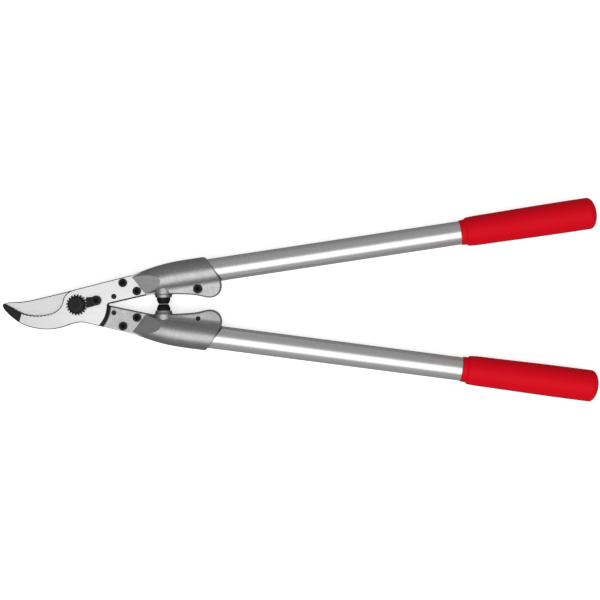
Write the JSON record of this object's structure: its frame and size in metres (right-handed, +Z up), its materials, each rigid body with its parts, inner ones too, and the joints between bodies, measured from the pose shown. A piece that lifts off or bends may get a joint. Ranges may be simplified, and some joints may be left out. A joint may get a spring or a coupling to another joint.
{
  "type": "bypass loppers",
  "caption": "Long-handled bypass loppers with a hooked counter-blade, a curved cutting blade, forged heads, round tube handles and smooth grips, stored closed.",
  "frame": {"origin": "middle of the closed loppers' length and width, on the bench that they lie on (z = 0)", "axes": "+X from the blades to the grips, +Z up from the bench, square to the blades; the counter-blade is on the upper side"},
  "size_m": [0.6311, 0.2162, 0.0336],
  "materials": {
    "ground_steel": "fine ground, with a satin face",
    "black_steel": "black oxide, satin",
    "forged_aluminium": "shot-blasted forging, satin",
    "tube_aluminium": "satin anodised",
    "red_grip": "smooth satin red vinyl",
    "black_rubber": "matt black rubber"
  },
  "bodies": {
    "hook_arm": {"hook_blade": "ground_steel", "pivot_bolt": "black_steel", "pivot_washer": "black_steel", "toothed_nut": "black_steel", "lock_segment": "black_steel", "segment_screw": "black_steel", "upper_forging": "forged_aluminium", "upper_tube": "tube_aluminium", "upper_grip": "red_grip", "upper_buffer": "black_rubber", "upper_blade_bolts": "black_steel", "upper_blade_nuts": "black_steel", "upper_locating_pin": "black_steel", "upper_clamp_screw": "black_steel"},
    "blade_arm": {"cutting_blade": "ground_steel", "lower_forging": "forged_aluminium", "lower_tube": "tube_aluminium", "lower_grip": "red_grip", "lower_buffer": "black_rubber", "lower_blade_bolts": "black_steel", "lower_blade_nuts": "black_steel", "lower_locating_pin": "black_steel", "lower_clamp_screw": "black_steel"}
  },
  "joints": [
    {"name": "main_pivot", "type": "hinge", "parent": "hook_arm", "child": "blade_arm", "pos_m": [-0.2364, 0, 0.0168], "axis": [0, 0, -1], "range_deg": [0, 85]}
  ]
}
